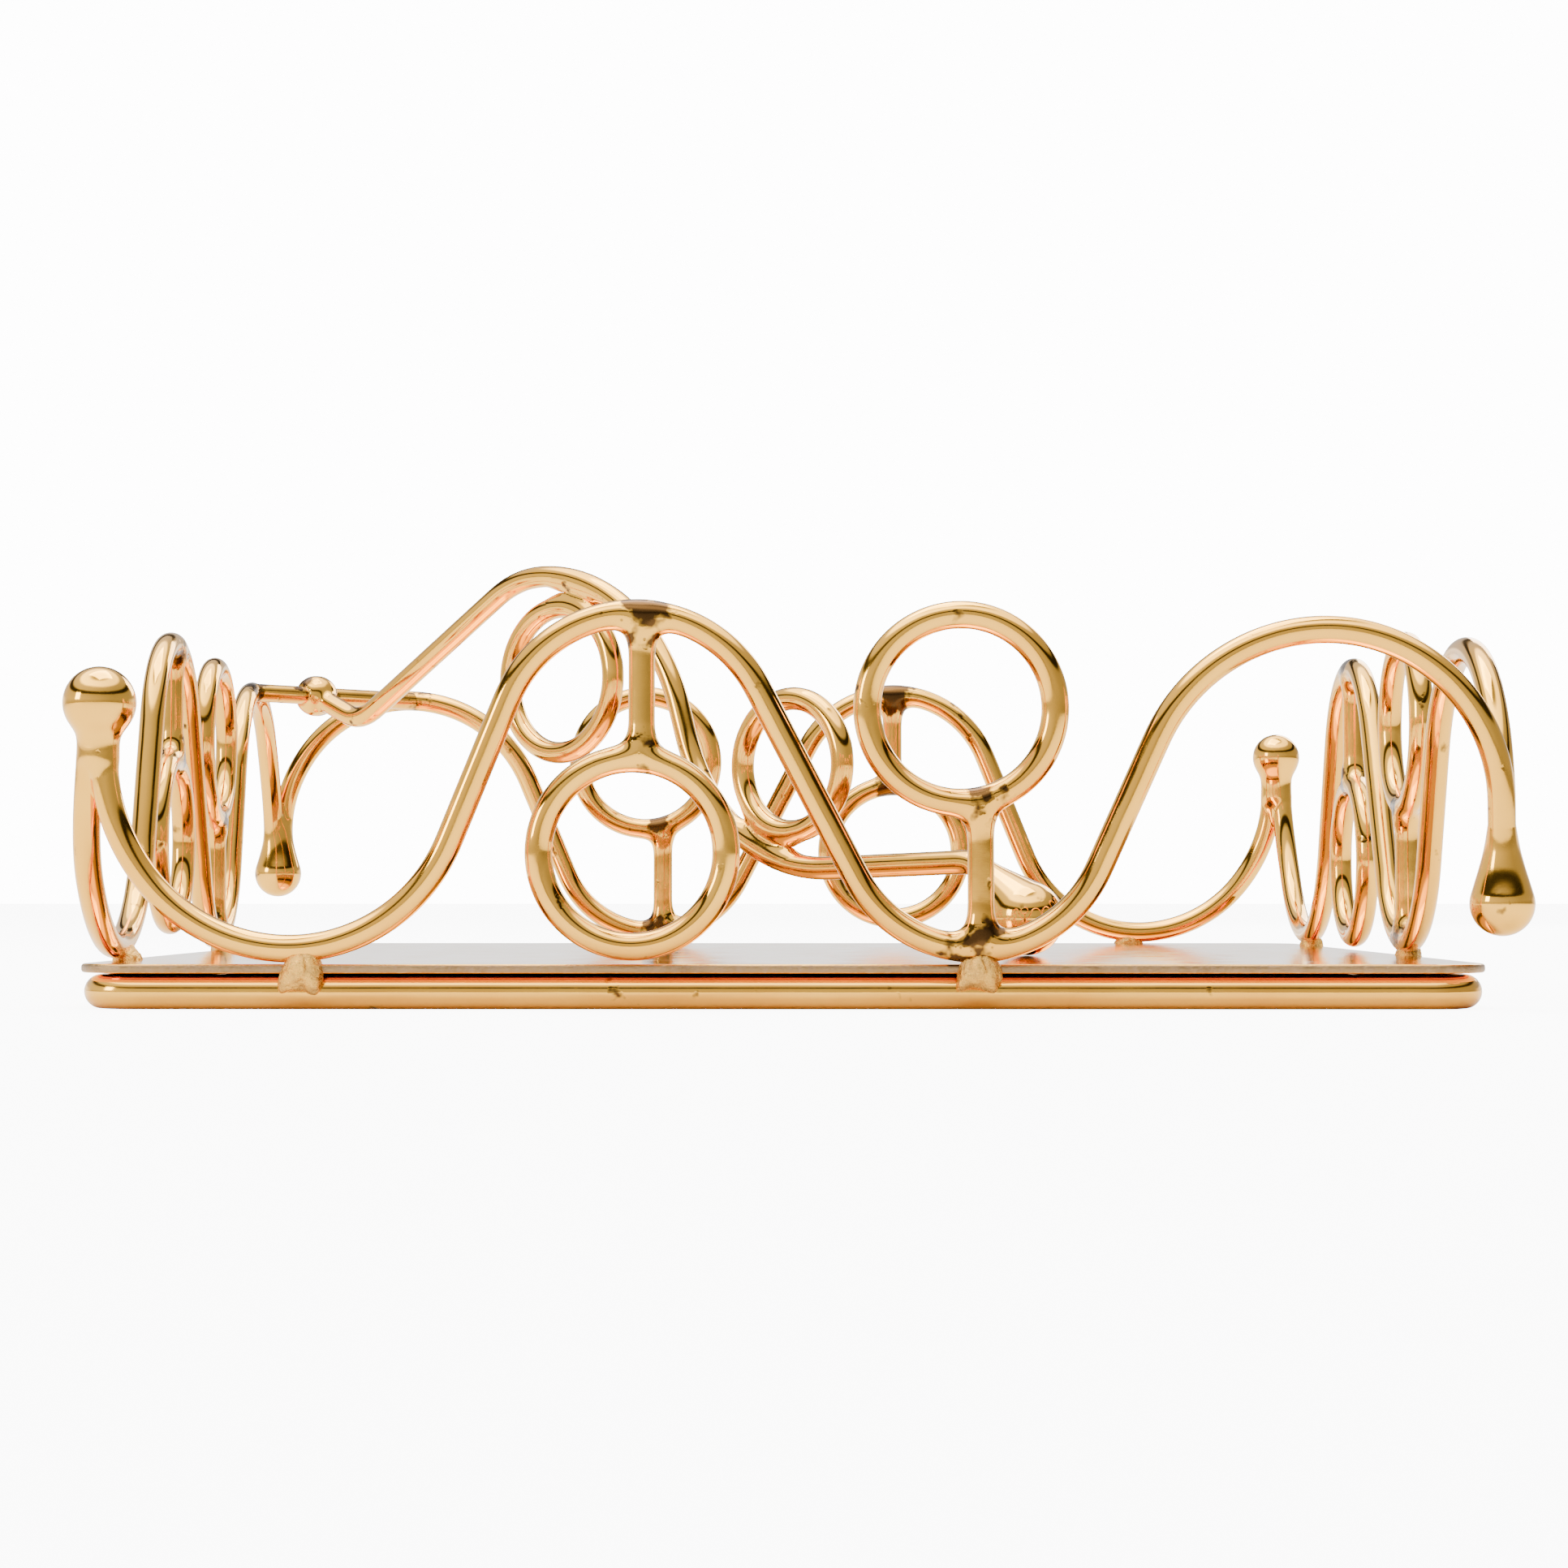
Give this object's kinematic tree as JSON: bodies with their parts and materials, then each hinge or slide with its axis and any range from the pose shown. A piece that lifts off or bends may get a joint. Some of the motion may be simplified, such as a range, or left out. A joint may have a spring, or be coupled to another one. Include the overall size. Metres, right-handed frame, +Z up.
{
  "type": "napkin holder tray",
  "caption": "Square brass napkin tray: mirror plate on a rod base, wavy wire rails with welded rings, and a hinged arm with a drop-shaped weight.",
  "frame": {"origin": "middle of the square tray, at the table plane under the base ring", "axes": "+X along the front rail from its corner ball to its corner drop, +Y to the back of the tray, +Z up"},
  "size_m": [0.1954, 0.1898, 0.0699],
  "materials": {
    "polished_brass": "hand polished, lacquered",
    "plate_brass": "mirror polished face, brushed edge",
    "weld_brass": "rough as welded"
  },
  "bodies": {
    "tray": {"base_plate": "plate_brass", "base_ring": "polished_brass", "corner_ball_back_right": "polished_brass", "corner_ball_front_left": "polished_brass", "corner_drop_back_left": "polished_brass", "corner_drop_front_right": "polished_brass", "hinge_pin": "polished_brass", "rail_back": "polished_brass", "rail_front": "polished_brass", "rail_left": "polished_brass", "rail_right": "polished_brass", "ring_back_hanging": "polished_brass", "ring_back_standing": "polished_brass", "ring_front_hanging": "polished_brass", "ring_front_standing": "polished_brass", "ring_left_hanging": "polished_brass", "ring_left_standing": "polished_brass", "ring_right_hanging": "polished_brass", "ring_right_standing": "polished_brass", "stem_back_hanging": "polished_brass", "stem_back_standing": "polished_brass", "stem_front_hanging": "polished_brass", "stem_front_standing": "polished_brass", "stem_left_hanging": "polished_brass", "stem_left_standing": "polished_brass", "stem_right_hanging": "polished_brass", "stem_right_standing": "polished_brass", "weld_back_1": "weld_brass", "weld_back_2": "weld_brass", "weld_front_1": "weld_brass", "weld_front_2": "weld_brass", "weld_left_1": "weld_brass", "weld_left_2": "weld_brass", "weld_right_1": "weld_brass", "weld_right_2": "weld_brass"},
    "arm": {"arm_hub": "polished_brass", "arm_ring_hanging": "polished_brass", "arm_ring_standing": "polished_brass", "arm_weight": "polished_brass", "arm_weld_hanging": "weld_brass", "arm_weld_standing": "weld_brass", "arm_wire": "polished_brass"}
  },
  "joints": [
    {"name": "arm_lift", "type": "hinge", "parent": "tray", "child": "arm", "pos_m": [-0.08464, 0.07462, 0.05026], "axis": [-0.6593, -0.7518, 0], "range_deg": [0, 200]}
  ]
}
